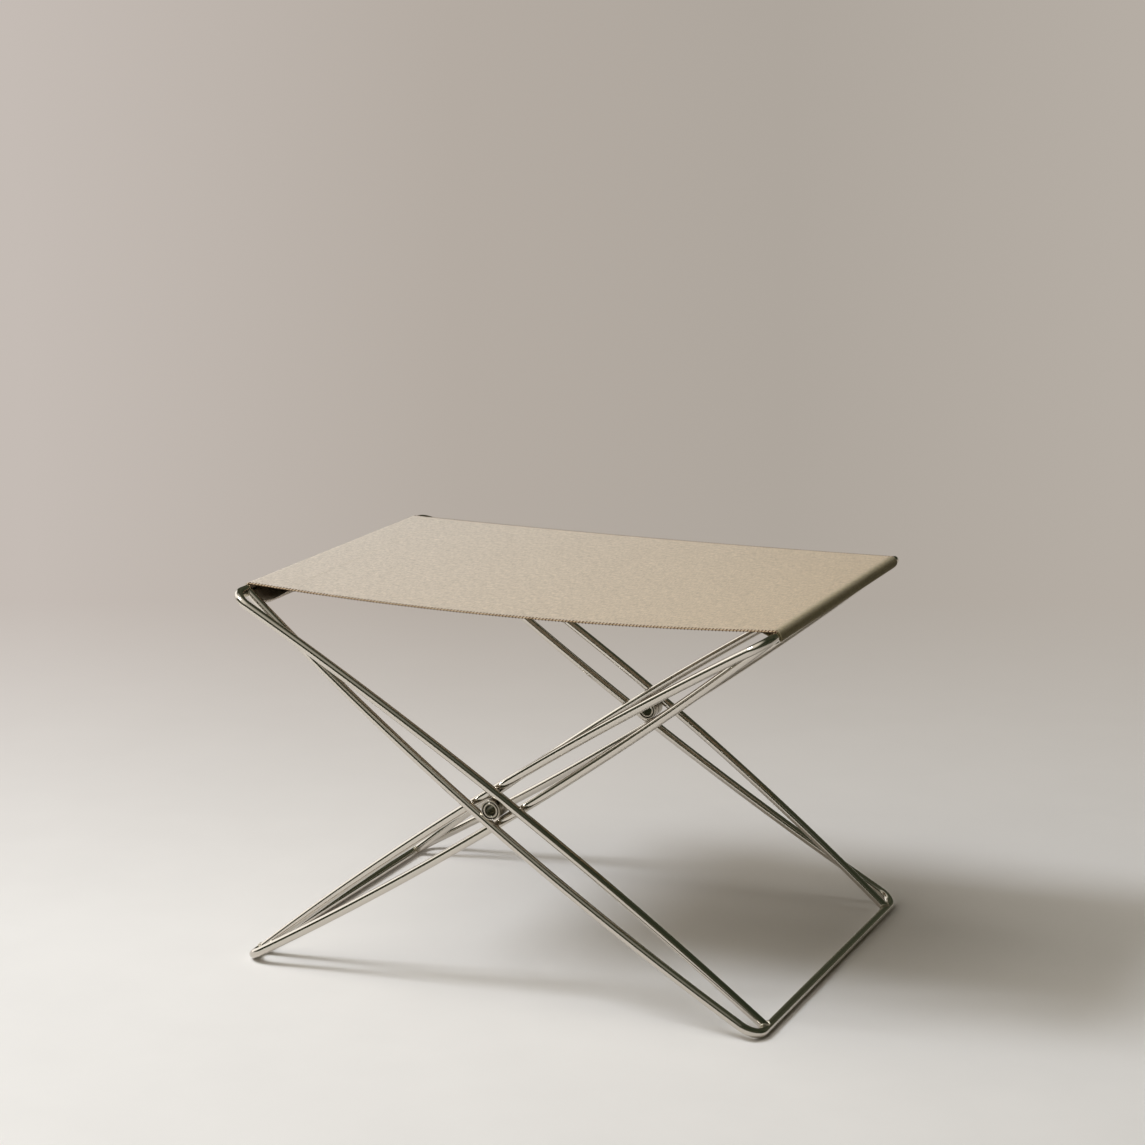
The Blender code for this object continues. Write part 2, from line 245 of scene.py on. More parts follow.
def finish_surface(tree, colour, marks, sockets, strength, depth):
    """Ends a material: its shader in this colour, with its marks as relief of this depth in metres."""
    relief = add(tree, "Bump", {"Height": marks, "Strength": strength, "Distance": depth})
    shader = add(tree, "BsdfPrincipled", {"Base Color": colour, "Normal": relief, **sockets})
    add(tree, "OutputMaterial", {"Surface": shader})


def give(piece, material):
    piece.data.materials.clear()
    piece.data.materials.append(material)


def stand_in(piece, material, node, body):
    """Gives a piece its material, puts it in a node's place and lets it ride on that node's frame."""
    give(piece, material)
    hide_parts(node)
    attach(piece, body)


def select_only(*pieces):
    bpy.ops.object.select_all(action="DESELECT")
    for piece in pieces:
        piece.select_set(True)
    bpy.context.view_layer.objects.active = pieces[-1]


def new_piece(name, mesh):
    made = bpy.data.objects.new(name, mesh)
    bpy.context.scene.collection.objects.link(made)
    return made


def copy_piece(piece, name):
    """A copy with a mesh of its own."""
    return new_piece(name, piece.data.copy())


def apply_modifiers(piece):
    select_only(piece)
    for name in [modifier.name for modifier in piece.modifiers]:
        bpy.ops.object.modifier_apply(modifier=name)


def settle(piece, angle=math.radians(35)):
    """Sets a finished piece to the origin, with merged points, outward faces and smooth shading."""
    select_only(piece)
    bpy.ops.object.transform_apply(location=True, rotation=True, scale=True)
    bpy.ops.object.mode_set(mode="EDIT")
    bpy.ops.mesh.select_all(action="SELECT")
    bpy.ops.mesh.remove_doubles(threshold=1e-6)
    bpy.ops.mesh.normals_make_consistent(inside=False)
    bpy.ops.object.mode_set(mode="OBJECT")
    bpy.ops.object.shade_smooth_by_angle(angle=angle)


def bar_along(name, points, radius, fineness, swell=None):
    """A round bar along a line of points: a curve with a round bevel, turned into a mesh.

    The attribute "straight_bar" keeps where each point was on the bar before it was bent, so that
    the drawn grain follows the bends.
    """
    bpy.ops.object.select_all(action="DESELECT")
    bpy.ops.curve.primitive_bezier_curve_add(location=(0.0, 0.0, 0.0))
    bar = bpy.context.object
    bar.name = name
    curve = bar.data
    curve.splines.clear()
    spline = curve.splines.new("POLY")
    spline.points.add(len(points) - 1)
    for k, point in enumerate(points):
        spline.points[k].co = (*point, 1.0)
        spline.points[k].radius = swell[k] if swell else 1.0
    curve.bevel_depth = radius
    curve.bevel_resolution = fineness
    curve.use_fill_caps = True
    bpy.ops.object.convert(target="MESH")
    # The mesh has its end caps first, the far one before the near one, and then a ring for each point.
    sides = 4 + 2 * fineness
    lengths = [0.0]
    for before, after in zip(points, points[1:]):
        lengths.append(lengths[-1] + (after - before).length)
    attribute = bar.data.attributes.new("straight_bar", "FLOAT_VECTOR", "POINT")
    caps = len(bar.data.vertices) - sides * len(points)
    for k in range(len(bar.data.vertices)):
        ring, side = divmod(max(k - caps, 0), sides)
        if k < caps:
            ring, side = (len(points) - 1 if k < caps // 2 else 0), k % sides
        angle = 2 * math.pi * side / sides
        attribute.data[k].vector = (radius * math.cos(angle), radius * math.sin(angle), lengths[ring])
    return bar


# Materials

def drawn_steel():
    """Satin drawn stainless rod: bright, with fine scratches along it and soft mottling from polishing."""
    material, tree = new_material("satin_drawn_stainless")
    bar = add(tree, "Attribute", attribute_name="straight_bar").outputs["Vector"]
    # Draw lines are about 0.02 mm apart on the real rod; they are drawn 0.5 mm apart so that they show.
    # A noise, here and in the other materials, lies mostly between 0.3 and 0.7.
    lines = add(tree, "Mapping", {"Vector": bar, "Scale": (2000.0, 2000.0, 9.0)})
    grain = add(tree, "TexNoise", {"Vector": lines, "Scale": 1.0, "Detail": 2.0, "Roughness": 0.5})
    patches = add(tree, "Mapping", {"Vector": bar, "Scale": (160.0, 160.0, 28.0)})
    mottle = add(tree, "TexNoise", {"Vector": patches, "Scale": 1.0, "Detail": 4.0})
    colour = add(tree, "Mix", {0: mottle, 6: linear("#C6BFB5"), 7: linear("#D6D0C8")}, data_type="RGBA")
    lined = add(tree, "Mix", {0: 0.10, 6: colour, 7: grain.outputs[1]}, data_type="RGBA",
                blend_type="SOFT_LIGHT")
    dull = add(tree, "MapRange", {"Value": grain, "From Min": 0.3, "From Max": 0.7,
                                  "To Min": 0.09, "To Max": 0.16})
    finish_surface(tree, lined, grain, {"Metallic": 1.0, "Roughness": dull}, strength=0.02, depth=0.00005)
    return material


def dressed_weld():
    """Dressed and brushed stainless weld: duller than the rod, with a faint straw tint from the heat."""
    material, tree = new_material("dressed_stainless_weld")
    place = add(tree, "TexCoord").outputs["Object"]
    # Grinding marks of about 0.5 mm.
    marks = add(tree, "TexNoise", {"Vector": place, "Scale": 2000.0, "Detail": 3.0})
    tint = add(tree, "TexNoise", {"Vector": place, "Scale": 220.0, "Detail": 2.0})
    colour = add(tree, "Mix", {0: tint, 6: linear("#B0A78F"), 7: linear("#C6C1B5")}, data_type="RGBA")
    dull = add(tree, "MapRange", {"Value": marks, "From Min": 0.3, "From Max": 0.7,
                                  "To Min": 0.26, "To Max": 0.40})
    finish_surface(tree, colour, marks, {"Metallic": 1.0, "Roughness": dull}, strength=0.35, depth=0.00008)
    return material


def turned_steel(bore, groove):
    """Turned stainless: fine rings about the axis from the tool, and a darker grey bore."""
    material, tree = new_material("turned_stainless")
    place = add(tree, "TexCoord").outputs["Object"]
    centred = add(tree, "Mapping", {"Vector": place, "Location": -PIVOT})
    x, y, z = add(tree, "SeparateXYZ", {0: centred}).outputs
    flat = add(tree, "CombineXYZ", {"X": x, "Z": z})
    radius = add(tree, "VectorMath", {0: flat}, operation="LENGTH")
    # The tool's feed is about 0.08 mm; the rings are drawn 0.35 mm apart so that they show.
    rings = add(tree, "CombineXYZ", {"X": radius, "Y": y})
    turning = add(tree, "TexNoise", {"Vector": rings, "Scale": 2800.0, "Detail": 2.0})
    dirt = add(tree, "TexNoise", {"Vector": place, "Scale": 350.0, "Detail": 4.0})
    colour = add(tree, "Mix", {0: dirt, 6: linear("#9C9484"), 7: linear("#BAB3A6")}, data_type="RGBA")
    # The bore's darker grey ends between 0.2 and 0.6 mm outside it, on the lip.
    inside = add(tree, "MapRange", {"Value": radius, "From Min": bore + 0.0002,
                                    "From Max": bore + 0.0006, "To Min": 1.0, "To Max": 0.0})
    # The ring between the rivet's lip and the bush is dark.
    from_groove = add(tree, "Math", {0: radius, 1: groove}, operation="SUBTRACT")
    off_groove = add(tree, "Math", {0: from_groove}, operation="ABSOLUTE")
    lip_ring_dark = add(tree, "MapRange", {"Value": off_groove, "From Min": 0.0004,
                                   "From Max": 0.0007, "To Min": 1.0, "To Max": 0.0})
    lip_ring_darkened = add(tree, "Mix", {0: lip_ring_dark, 6: colour, 7: linear("#3B3C31")}, data_type="RGBA")
    bored = add(tree, "Mix", {0: inside, 6: lip_ring_darkened, 7: linear("#838270")}, data_type="RGBA")
    dull = add(tree, "MapRange", {"Value": turning, "From Min": 0.3, "From Max": 0.7,
                                  "To Min": 0.22, "To Max": 0.34})
    finish_surface(tree, bored, turning, {"Metallic": 1.0, "Roughness": dull}, strength=0.25, depth=0.00006)
    return material


def moulded_nylon():
    """Moulded black nylon: near-black with a matt spark texture, whose grains are about 0.3 mm."""
    material, tree = new_material("moulded_nylon")
    place = add(tree, "TexCoord").outputs["Object"]
    spark = add(tree, "TexNoise", {"Vector": place, "Scale": 3500.0, "Detail": 2.0})
    colour = add(tree, "Mix", {0: spark, 6: linear("#191814"), 7: linear("#2A2822")}, data_type="RGBA")
    finish_surface(tree, colour, spark, {"Roughness": 0.55, "IOR": 1.53}, strength=0.3, depth=0.00005)
    return material


def cotton_canvas(pale, warm, half):
    """Natural cotton canvas, plain woven: matt, with slubs along both threads and a grain of dark gaps."""
    material, tree = new_material("natural_cotton_canvas")
    cloth = add(tree, "UVMap", uv_map="cloth")
    x, y, _ = add(tree, "SeparateXYZ", {0: cloth}).outputs
    # The cloth is a little paler towards the outer rail.
    across_seat = add(tree, "MapRange", {"Value": x, "From Min": -half, "From Max": half})
    unshaded_cloth = add(tree, "Mix", {0: across_seat, 6: pale, 7: warm}, data_type="RGBA")
    # The sleeve round the inner rail is darkened with painted shade, for its side turned away from the lamps.
    # The dark comes in from 6 mm before the rail's middle to 4.5 mm past it.
    painted_sleeve_shade = add(tree, "MapRange", {"Value": x, "From Min": half - 0.006,
                                     "From Max": half + 0.0045}, interpolation_type="SMOOTHSTEP")
    base = add(tree, "Mix", {0: painted_sleeve_shade, 6: unshaded_cloth, 7: linear("#918663")}, data_type="RGBA")
    # Threads lie about 0.7 mm apart on such canvas; they are drawn 1.2 mm apart so that they show.
    pitch = 0.0012
    waves = []
    for way in (x, y):
        turns = add(tree, "Math", {0: way, 1: math.pi / pitch}, operation="MULTIPLY")
        waves.append(add(tree, "Math", {0: turns}, operation="SINE"))
    crossing = add(tree, "Math", {0: waves[0], 1: waves[1]}, operation="MULTIPLY")
    crown = add(tree, "Math", {0: crossing}, operation="ABSOLUTE")
    threads = add(tree, "Math", {0: crown, 1: 0.6}, operation="POWER")
    # Slubs: thick places in the yarn, 7 to 8 mm long and 1.5 to 2 mm wide, along each set of threads.
    both_ways = []
    for scale in ((120.0, 480.0, 1.0), (700.0, 140.0, 1.0)):
        drawn_out = add(tree, "Mapping", {"Vector": cloth, "Scale": scale})
        both_ways.append(add(tree, "TexNoise", {"Vector": drawn_out, "Scale": 1.0, "Detail": 3.0,
                                                "Roughness": 0.65}, noise_dimensions="2D"))
    slubs = add(tree, "Mix", {0: 0.5, 2: both_ways[0], 3: both_ways[1]})
    # Slightly uneven cloth, a few centimetres from place to place, and flecks of seed husk.
    cloudy = add(tree, "TexNoise", {"Vector": cloth, "Scale": 26.0, "Detail": 4.0}, noise_dimensions="2D")
    fleck = add(tree, "TexNoise", {"Vector": cloth, "Scale": 420.0, "Detail": 2.0}, noise_dimensions="2D")
    yarn = add(tree, "MapRange", {"Value": slubs, "From Min": 0.36, "From Max": 0.64,
                                  "To Min": 0.79, "To Max": 1.17})
    cloud = add(tree, "MapRange", {"Value": cloudy, "From Min": 0.3, "From Max": 0.7,
                                   "To Min": 0.985, "To Max": 1.015})
    gaps = add(tree, "MapRange", {"Value": threads, "From Min": 0.0, "From Max": 0.6,
                                  "To Min": 0.84, "To Max": 1.02})
    worn = add(tree, "Math", {0: cloud, 1: gaps}, operation="MULTIPLY")
    shade = add(tree, "Math", {0: worn, 1: yarn}, operation="MULTIPLY")
    shaded = add(tree, "Mix", {0: 1.0, 6: base, 7: shade}, data_type="RGBA", blend_type="MULTIPLY")
    husk = add(tree, "MapRange", {"Value": fleck, "From Min": 0.66, "From Max": 0.74,
                                  "To Min": 0.0, "To Max": 0.30})
    flecked = add(tree, "Mix", {0: husk, 6: shaded, 7: linear("#8E7555")}, data_type="RGBA")
    height = add(tree, "Math", {0: threads, 1: slubs}, operation="ADD")
    finish_surface(tree, flecked, height, {"Roughness": 0.92, "Sheen Weight": 0.12, "Sheen Roughness": 0.5},
                   strength=0.55, depth=0.00035)
    return material


def spun_thread(name, colour, other):
    """Spun polyester-cotton thread: matt, with the twist of its plies as fine light and dark bands."""
    material, tree = new_material(name)
    place = add(tree, "TexCoord").outputs["Object"]
    # The plies' twist repeats about every 0.6 mm.
    twist = add(tree, "TexNoise", {"Vector": place, "Scale": 1700.0, "Detail": 3.0})
    patches = add(tree, "TexNoise", {"Vector": place, "Scale": 90.0, "Detail": 2.0})
    mixed = add(tree, "Math", {0: twist, 1: patches}, operation="MULTIPLY")
    spread = add(tree, "MapRange", {"Value": mixed, "From Min": 0.14, "From Max": 0.36})
    colours = add(tree, "Mix", {0: spread, 6: linear(other), 7: linear(colour)}, data_type="RGBA")
    finish_surface(tree, colours, twist, {"Roughness": 0.85, "Sheen Weight": 0.2}, strength=0.4, depth=0.0001)
    return material


def camera_ways(sizes):
    """The level directions straight ahead of the camera and to its right."""
    sine, cosine = math.sin(sizes.camera_azimuth), math.cos(sizes.camera_azimuth)
    return (-sine, cosine, 0.0), (cosine, sine, 0.0)


def studio_floor(sizes):
    """Matt painted studio floor: pale near the stool, running into a grey backdrop all round."""
    material, tree = new_material("painted_studio_floor")
    place = add(tree, "TexCoord").outputs["Object"]
    ahead_way, right_way = camera_ways(sizes)
    forward = add(tree, "VectorMath", {0: place, 1: ahead_way}, operation="DOT_PRODUCT")
    sideways = add(tree, "VectorMath", {0: place, 1: right_way}, operation="DOT_PRODUCT")
    far = add(tree, "MapRange", {"Value": forward, "From Min": 0.0, "From Max": sizes.backdrop_start})
    seen = add(tree, "LightPath")
    shown = add(tree, "Math", {0: seen.outputs["Is Camera Ray"], 1: seen.outputs["Is Glossy Ray"]},
                operation="MAXIMUM")
    behind = add(tree, "Math", {0: far, 1: shown}, operation="MULTIPLY")
    # On the other sides the backdrop starts further out, and only the camera sees it.
    distance = add(tree, "VectorMath", {0: place}, operation="LENGTH")
    outside = add(tree, "MapRange", {"Value": distance, "From Min": sizes.surround_start,
                                     "From Max": sizes.surround_full}, interpolation_type="SMOOTHSTEP")
    around = add(tree, "Math", {0: outside, 1: seen.outputs["Is Camera Ray"]}, operation="MULTIPLY")
    fade = add(tree, "Math", {0: behind, 1: around}, operation="MAXIMUM")
    # Roller marks, about ten centimetres across, barely seen.
    roller = add(tree, "TexNoise", {"Vector": place, "Scale": 9.0, "Detail": 5.0})
    tone = add(tree, "MapRange", {"Value": roller, "From Min": 0.3, "From Max": 0.7,
                                  "To Min": 0.985, "To Max": 1.01})
    paint = add(tree, "Mix", {0: 1.0, 6: linear(sizes.floor_colour), 7: tone},
                data_type="RGBA", blend_type="MULTIPLY")
    # It throws little light back up, so that the shaded sides stay deep as in a large dark room.
    bounced = add(tree, "Mix", {0: seen.outputs["Is Diffuse Ray"], 6: paint,
                                7: linear("#A6A198")}, data_type="RGBA")
    floor = add(tree, "BsdfPrincipled", {"Base Color": bounced, "Roughness": 0.8, "Specular IOR Level": 0.2})
    stand_off = Vector(sizes.camera_place).to_2d().length
    ahead = add(tree, "Math", {0: forward, 1: stand_off}, operation="ADD")
    share = add(tree, "Math", {0: forward, 1: distance}, operation="DIVIDE")
    tones = backdrop_tones(tree, sideways, ahead, share)
    grey = add(tree, "Emission", {"Color": tones, "Strength": 1.0})
    both = add(tree, "MixShader", {0: fade, 1: floor, 2: grey})
    add(tree, "OutputMaterial", {"Surface": both})
    return material


def backdrop_tones(tree, sideways, ahead, forward):
    """The backdrop's grey, with painted light that is uneven from side to side behind the stool and even on
    the near side.

    The tones fan out from under the camera, over a fifth of the distance ahead to either side.
    Forward is 1 straight behind the stool and -1 straight before it.
    """
    least_ahead = 0.05
    clear = add(tree, "Math", {0: ahead, 1: least_ahead}, operation="MAXIMUM")
    fan = add(tree, "Math", {0: sideways, 1: clear}, operation="DIVIDE")
    spread = add(tree, "MapRange", {"Value": fan, "From Min": -0.20, "From Max": 0.20})
    tones = add(tree, "ValToRGB", {0: spread})
    ramp = tones.color_ramp
    while len(ramp.elements) < len(BACKDROP_TONES):
        ramp.elements.new(0.5)
    for element, (place, colour) in zip(ramp.elements, BACKDROP_TONES):
        element.position = place
        element.color = linear(colour)
    far_side = add(tree, "MapRange", {"Value": forward, "From Min": -0.6, "From Max": 0.0},
                   interpolation_type="SMOOTHSTEP")
    return add(tree, "Mix", {0: far_side, 6: linear("#B5ADA4"), 7: tones}, data_type="RGBA")


def patch_of_light(tree, place, way, edge, full, shine):
    """A soft round patch of light that way; edge and full are cosines of the angle off its middle."""
    off_middle = add(tree, "VectorMath", {0: place, 1: Vector(way).normalized()}, operation="DOT_PRODUCT")
    return add(tree, "MapRange", {"Value": off_middle, "From Min": edge, "From Max": full,
                                  "To Max": shine}, interpolation_type="SMOOTHSTEP")


def studio_world(sizes):
    """Even fill light; the camera sees the backdrop's grey, and the steel sees a darker studio."""
    world = bpy.data.worlds.new("studio")
    world.use_nodes = True
    tree = world.node_tree
    tree.nodes.clear()
    seen = add(tree, "LightPath")
    place = add(tree, "TexCoord").outputs["Generated"]
    ahead_way, right_way = camera_ways(sizes)
    towards = add(tree, "VectorMath", {0: place, 1: ahead_way}, operation="DOT_PRODUCT")
    behind = add(tree, "MapRange", {"Value": towards, "From Min": 0.55, "From Max": 0.95},
                 interpolation_type="SMOOTHSTEP")
    up = add(tree, "SeparateXYZ", {0: place}).outputs["Z"]
    low = add(tree, "MapRange", {"Value": up, "From Min": 0.0, "From Max": 0.16,
                                 "To Min": 1.0, "To Max": 0.0}, interpolation_type="SMOOTHSTEP")
    lit = add(tree, "Math", {0: behind, 1: low}, operation="MULTIPLY")
    # Walls, stands and ceiling of a dark studio, as soft patches.
    room = add(tree, "TexNoise", {"Vector": place, "Scale": 2.2, "Detail": 1.0})
    patches = add(tree, "MapRange", {"Value": room, "From Min": 0.35, "From Max": 0.65})
    dark = add(tree, "Mix", {0: patches, 6: linear("#283022"), 7: linear("#4C4D3E")}, data_type="RGBA")
    studio = add(tree, "Mix", {0: lit, 6: dark, 7: linear("#B3ACA2")}, data_type="RGBA")
    # The lit sail, as the steel shows it: bright in its middle, fading out all round and cut off below.
    sail_way = Vector(sizes.sail_place) - LAMPS_AIM
    wide = patch_of_light(tree, place, sail_way, 0.60, 0.97, sizes.sail_shine)
    high = add(tree, "MapRange", {"Value": up, "From Min": 0.36, "From Max": 0.58},
               interpolation_type="SMOOTHSTEP")
    sail = add(tree, "Math", {0: wide, 1: high}, operation="MULTIPLY")
    # A tall window at the left, which draws the long highlights on the bends and along the inner legs.
    low_pane = patch_of_light(tree, place, sizes.window_low, 0.895, 0.965, sizes.window_shine)
    high_pane = patch_of_light(tree, place, sizes.window_high, 0.950, 0.985, sizes.window_shine)
    window = add(tree, "Math", {0: low_pane, 1: high_pane}, operation="MAXIMUM")
    mirrored = studio
    for colour, amount in ((sizes.sail_colour, sail), (sizes.window_colour, window)):
        light = add(tree, "Mix", {0: 1.0, 6: (*colour, 1.0), 7: amount}, data_type="RGBA",
                    blend_type="MULTIPLY")
        mirrored = add(tree, "Mix", {0: 1.0, 6: mirrored, 7: light}, data_type="RGBA", blend_type="ADD")
    reflected = add(tree, "Mix", {0: seen.outputs["Is Glossy Ray"], 6: (*sizes.fill, 1.0),
                                  7: mirrored}, data_type="RGBA")
    sideways = add(tree, "VectorMath", {0: place, 1: right_way}, operation="DOT_PRODUCT")
    backdrop = backdrop_tones(tree, sideways, towards, towards)
    shown = add(tree, "Mix", {0: seen.outputs["Is Camera Ray"], 6: reflected, 7: backdrop}, data_type="RGBA")
    background = add(tree, "Background", {"Color": shown, "Strength": 1.0})
    add(tree, "OutputWorld", {"Surface": background})
    return world


# The rods' shape

def leg_point(sizes, width, lean, share):
    """Middle of a back leg, from its own rail at share 0 to the rail it is welded to at share 1."""
    spacing, rise = sizes.rail_spacing, sizes.rail_rise
    chord = Vector((spacing, 0.0, -2 * rise))
    bow = Vector((2 * rise, 0.0, spacing)).normalized() * sizes.leg_bow * 4 * share * (1 - share)
    at_pivot, at_end = sizes.pivot_inset, sizes.end_inset
    inset = share * (4 * at_pivot - at_end) + share * share * (2 * at_end - 4 * at_pivot)
    point = Vector((-spacing / 2, width / 2 - inset, rise)) + chord * share + bow
    return Vector((point.x * lean, point.y, point.z)) + PIVOT


def half_rod_path(sizes, width, lean):
    """Back half of a bent rod: round the bend from the end of the rail, and down the leg."""
    corner = leg_point(sizes, width, lean, 0)
    leg = (leg_point(sizes, width, lean, 0.01) - corner).normalized()
    rail = Vector((0.0, -1.0, 0.0))
    opening = rail.angle(leg)
    reach = sizes.bend_radius / math.tan(opening / 2)
    centre = corner + (rail + leg).normalized() * sizes.bend_radius / math.sin(opening / 2)
    start = corner + rail * reach - centre
    axis = rail.cross(leg).normalized()
    sweep = math.pi - opening
    path = []
    for k in range(sizes.bend_steps + 1):
        path.append(centre + Matrix.Rotation(-sweep * k / sizes.bend_steps, 3, axis) @ start)
    first = reach / (leg_point(sizes, width, lean, 1) - corner).length
    for k in range(1, sizes.leg_steps + 1):
        path.append(leg_point(sizes, width, lean, first + (1 - first) * k / sizes.leg_steps))
    return path


def rod_path(sizes, width, lean):
    """Middle line of a whole bent rod, from its front end along the rail to its back end."""
    back = half_rod_path(sizes, width, lean)
    front = [Vector((point.x, -point.y, point.z)) for point in reversed(back)]
    rail_steps = 12
    rail = [front[-1].lerp(back[0], k / rail_steps) for k in range(1, rail_steps)]
    return front + rail + back


def turned_over(piece):
    """Turns a piece half a turn about the pivot axis, which makes the lower rod of the upper one."""
    piece.data.transform(Matrix.Translation(PIVOT) @ Matrix.Rotation(math.pi, 4, "Y")
                         @ Matrix.Translation(-PIVOT))


def upper_and_lower(upper, material, node, body):
    """Puts an upper piece and its turned over copy in their nodes' places; node is the upper one's."""
    lower = copy_piece(upper, upper.name.replace("upper", "lower"))
    turned_over(lower)
    stand_in(upper, material, node, body)
    stand_in(lower, material, node.replace("upper", "lower"), body)


def frame_width(sizes, name):
    return sizes.outer_width if name == "outer" else sizes.inner_width


def weld_path(sizes, width, lean, side):
    """The bead's line round a coped end and its thickness along it, with the ripples of each puddle."""
    end = leg_point(sizes, width, lean, 1)
    leg = (leg_point(sizes, width, lean, 0.99) - end).normalized()
    over = Vector((0.0, 1.0, 0.0)).cross(leg).normalized()
    if over.z < 0:
        over.negate()
    steps, puddle_steps, puddle_height = 64, 4, 0.07
    stands_out, end_share = 0.7, 0.35
    sweep = math.pi - sizes.weld_open / 2
    points, radii = [], []
    for k in range(steps + 1):
        angle = math.pi / 2 + sweep * (2 * k / steps - 1)
        corner = abs(math.cos(angle))
        taper = math.sin(math.pi * k / steps) ** 0.5
        ripple = 1 + puddle_height * math.sin(2 * math.pi * k / puddle_steps)
        radius = (sizes.weld_tip + (sizes.weld_radius - sizes.weld_tip) * corner * taper) * ripple
        away = sizes.rod_radius + stands_out * radius
        lift = math.hypot(corner, sizes.weld_tip / away)
        point = end + away * (Vector((0.0, math.cos(angle), 0.0)) + math.sin(angle) * over + lift * leg)
        points.append(Vector((point.x, point.y * side, point.z)))
        radii.append(radius * (end_share if k in (0, steps) else 1.0))
    return points, radii


# The cloth's shape

def bezier(p0, p1, p2, p3, t):
    """A point on the curve from p0 to p3, which leaves towards p1 and arrives from p2."""
    u = 1 - t
    return p0 * u ** 3 + p1 * 3 * u * u * t + p2 * 3 * u * t * t + p3 * t ** 3


def cloth_section(cloth, rods, rail):
    """Middle line of the cloth from the stool's middle out over one rail and back to the seam.

    Each point is (distance along the cloth, across the stool, above the rail's middle, tuck), where
    tuck is 0 on the seat and over the rail and rises to 1 on the narrower under layer.
    """
    seat_steps, wrap_steps, pocket_steps, flap_steps = 64, 24, 24, 3
    # The cloth starts to narrow 100 degrees round the rail and is done within six steps of leaving it.
    tuck_from, tuck_over, tuck_steps = 100, 90, 6
    half = rods.rail_spacing / 2
    radius = rods.rod_radius + cloth.rod_gap + cloth.thickness / 2
    points = [(Vector((half * k / seat_steps, radius)), 0.0) for k in range(seat_steps + 1)]
    for k in range(1, wrap_steps + 1):
        angle = math.pi / 2 - cloth.wrap_angle[rail] * k / wrap_steps
        tuck = smooth((math.degrees(math.pi / 2 - angle) - tuck_from) / tuck_over)
        points.append((Vector((half + radius * math.cos(angle), radius * math.sin(angle))), tuck))
    leave = math.pi / 2 - cloth.wrap_angle[rail]
    start, wrapped = points[-1]
    down = Vector((math.sin(leave), -math.cos(leave)))
    seam = Vector((half - cloth.seam_inset[rail], radius - cloth.thickness))
    rise = Vector((-math.cos(cloth.pocket_slope[rail]), math.sin(cloth.pocket_slope[rail])))
    for k in range(1, pocket_steps + 1):
        spot = bezier(start, start + down * cloth.pocket_drop[rail],
                      seam - rise * cloth.pocket_rise[rail], seam, k / pocket_steps)
        points.append((spot, max(wrapped, smooth(k / tuck_steps))))
    for k in range(1, flap_steps + 1):
        points.append((Vector((seam.x - cloth.flap * k / flap_steps, seam.y)), 1.0))
    section = []
    length = 0.0
    for k, (point, tuck) in enumerate(points):
        length += (point - points[k - 1][0]).length if k else 0.0
        section.append((length, point.x, point.y, tuck))
    return section


def smooth(share):
    """Rises from 0 to 1 with no kink at either end."""
    share = min(max(share, 0.0), 1.0)
    return share * share * (3 - 2 * share)


def whole_section(cloth, rods):
    """The section of the whole cloth, from the seam under one rail to the seam under the other."""
    outer, inner = (cloth_section(cloth, rods, rail) for rail in RAILS.values())
    return [(-s, -x, z, tuck) for s, x, z, tuck in reversed(outer[1:])] + inner


def reach(cloth, rods, x, tuck, side):
    """How far the cloth reaches from the stool's middle, towards the front or the back."""
    share = min(max(x / rods.rail_spacing + 0.5, 0.0), 1.0)
    layers = cloth.front_reach if side < 0 else cloth.back_reach
    top, under = (pair[0] + (pair[1] - pair[0]) * share for pair in (layers, cloth.under_reach))
    return top + (under - top) * tuck


def cloth_point(cloth, rods, x, z, tuck, share):
    """A point of the cloth in place; share runs from -1 at the front edge to 1 at the back edge."""
    y = share * reach(cloth, rods, x, tuck, share)
    sag = cloth.front_sag + (cloth.back_sag - cloth.front_sag) * (share + 1) / 2
    sag *= max(0.0, 1 - (2 * x / rods.rail_spacing) ** 2)
    return Vector((x, y, z + PIVOT.z + rods.rail_rise - sag))


def spaced_section(section, step):
    """The section's line again at even steps along the cloth."""
    points = []
    count = max(2, round((section[-1][0] - section[0][0]) / step))
    at = 0
    for k in range(count + 1):
        length = section[0][0] + (section[-1][0] - section[0][0]) * k / count
        while at < len(section) - 2 and section[at + 1][0] < length:
            at += 1
        before, after = Vector(section[at]), Vector(section[at + 1])
        points.append(tuple(before.lerp(after, (length - before[0]) / (after[0] - before[0]))))
    return points


def edge_frames(cloth, rods, side, step):
    """Points along the seat's edge, each with its length along the cloth, outwards and upwards."""
    shoulder = rods.rail_spacing / 2 + cloth.whip_end
    line = spaced_section([spot for spot in whole_section(cloth, rods)
                           if abs(spot[1]) < shoulder and spot[2] > rods.rod_radius], step)
    places = [(s, cloth_point(cloth, rods, x, z, tuck, side)) for s, x, z, tuck in line]
    frames = []
    for k, (s, point) in enumerate(places):
        along = (places[min(k + 1, len(places) - 1)][1] - places[max(k - 1, 0)][1]).normalized()
        out = Vector((0.0, side, 0.0))
        out = (out - along * out.dot(along)).normalized()
        frames.append((s, point, out, along.cross(out) * side))
    return frames


# Operators

